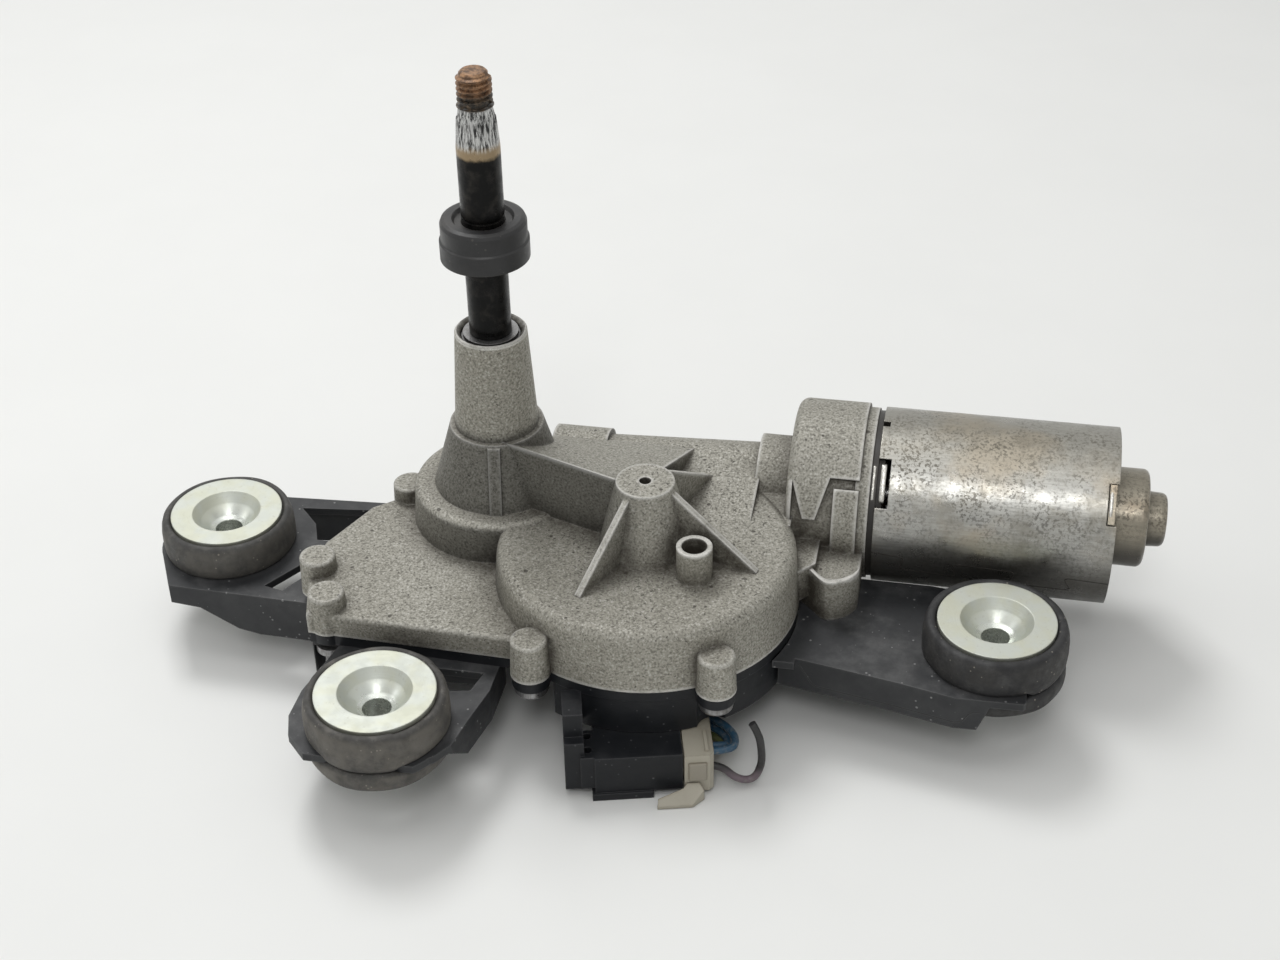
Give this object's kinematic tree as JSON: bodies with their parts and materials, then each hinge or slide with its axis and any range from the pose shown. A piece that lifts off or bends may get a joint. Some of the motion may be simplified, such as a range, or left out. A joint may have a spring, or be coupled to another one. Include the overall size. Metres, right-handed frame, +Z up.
{
  "type": "wiper motor",
  "caption": "Rear wiper motor with a cast gear housing, upright wiper spindle, worm gear and crank linkage, lying brush motor, bracket on rubber dampers and plugged wires.",
  "frame": {"origin": "where the spindle's axis meets the flat face that the part rests on, under the gear housing", "axes": "+Z up along the spindle, +X along the motor's axis towards its end cap"},
  "size_m": [0.2477, 0.127, 0.149],
  "materials": {
    "cast_housing": "as-cast, soiled",
    "zinc_steel": "zinc plated and dull",
    "cap_steel": "dull lacquered steel",
    "washer_steel": "zinc plated",
    "black_cover": "glass filled, dusty",
    "bracket_black": "black coating with dust",
    "damper_rubber": "matt with dust",
    "seal_rubber": "satin",
    "collar_black": "satin",
    "spindle_steel": "black phosphate, knurl worn bright",
    "hard_steel": "ground",
    "spring_steel": "oiled",
    "bronze": "sintered",
    "copper": "bare and enamelled",
    "wheel_plastic": "natural nylon",
    "dark_iron": "sintered",
    "holder_black": "moulded",
    "green_board": "lacquered",
    "component_black": "moulded",
    "plug_grey": "moulded, dusty",
    "lock_grey": "moulded",
    "wire_blue": "insulation",
    "wire_green": "insulation",
    "wire_white": "insulation",
    "wire_violet": "insulation"
  },
  "bodies": {
    "housing": {"gear_housing": "cast_housing", "base_cover": "black_cover", "cover_gasket": "seal_rubber", "mounting_bracket": "bracket_black", "cover_screws": "spring_steel", "tower_upper_bush": "bronze", "tower_lower_bush": "bronze", "shaft_seal": "seal_rubber", "spindle_washer": "spring_steel", "thrust_washer": "spring_steel", "wheel_axle": "hard_steel", "axle_clip": "spring_steel", "motor_can": "zinc_steel", "end_cap": "cap_steel", "magnets": "dark_iron", "brush_plate": "holder_black", "carbon_brushes": "component_black", "brush_springs": "spring_steel", "front_bearing": "hard_steel", "rear_bush": "bronze", "worm_end_bush": "bronze", "thrust_pad": "wheel_plastic", "circuit_board": "green_board", "board_components": "component_black", "contact_fingers": "copper", "connector_pins": "copper", "rubber_damper_a": "damper_rubber", "rubber_damper_b": "damper_rubber", "rubber_damper_c": "damper_rubber", "damper_sleeve_a": "washer_steel", "damper_sleeve_b": "washer_steel", "damper_sleeve_c": "washer_steel"},
    "spindle": {"output_spindle": "spindle_steel", "drive_pinion": "hard_steel", "spindle_circlip": "spring_steel"},
    "collar": {"seal_collar": "collar_black"},
    "link": {"link_plate": "hard_steel", "sector_pin": "hard_steel"},
    "toothed_arm": {"sector_arm": "hard_steel"},
    "wheel": {"worm_wheel": "wheel_plastic", "crank_pin": "hard_steel", "park_disc": "copper"},
    "armature": {"armature_shaft": "hard_steel", "armature_core": "dark_iron", "armature_windings": "copper", "commutator": "copper"},
    "plug": {"harness_plug": "plug_grey", "plug_lock": "lock_grey", "wire_blue_a": "wire_blue", "wire_blue_b": "wire_blue", "wire_green": "wire_green", "wire_white": "wire_white", "wire_violet": "wire_violet"},
    "latch": {"plug_latch": "plug_grey"}
  },
  "joints": [
    {"name": "spindle_sweep", "type": "hinge", "parent": "housing", "child": "spindle", "pos_m": [0, 0, 0.084], "axis": [0, 0, 1], "range_deg": [0, 161.9]},
    {"name": "link_swing", "type": "hinge", "parent": "housing", "child": "link", "pos_m": [0, 0, 0.0254], "axis": [0, 0, 1], "range_deg": [0, 59.3]},
    {"name": "arm_swing", "type": "hinge", "parent": "link", "child": "toothed_arm", "pos_m": [-0.01698, -0.01056, 0.0275], "axis": [0, 0, 1], "range_deg": [-49.6, 0]},
    {"name": "armature_spin", "type": "hinge", "parent": "housing", "child": "armature", "pos_m": [0.06, 0.0168, 0.035], "axis": [1, 0, 0], "continuous": true},
    {"name": "wheel_spin", "type": "hinge", "parent": "housing", "child": "wheel", "pos_m": [0.0402, -0.0192, 0.035], "axis": [0, 0, 1], "continuous": true},
    {"name": "collar_slide", "type": "slide", "parent": "spindle", "child": "collar", "axis": [0, 0, 1], "range_m": [-0.019, 0.017]},
    {"name": "plug_slide", "type": "slide", "parent": "housing", "child": "plug", "axis": [0.9681, 0.2504, 0], "range_m": [0, 0.025]},
    {"name": "latch_flex", "type": "hinge", "parent": "plug", "child": "latch", "pos_m": [0.05928, -0.06061, 0.001], "axis": [0, 0, 1], "range_deg": [0, 12], "stiffness_Nm_per_rad": 0.05}
  ],
  "couplings": [
    {"joint": "link_swing", "follows": "spindle_sweep", "ratio": 0.36559},
    {"joint": "arm_swing", "follows": "spindle_sweep", "ratio": -0.30546},
    {"joint": "wheel_spin", "follows": "armature_spin", "ratio": 0.02}
  ]
}
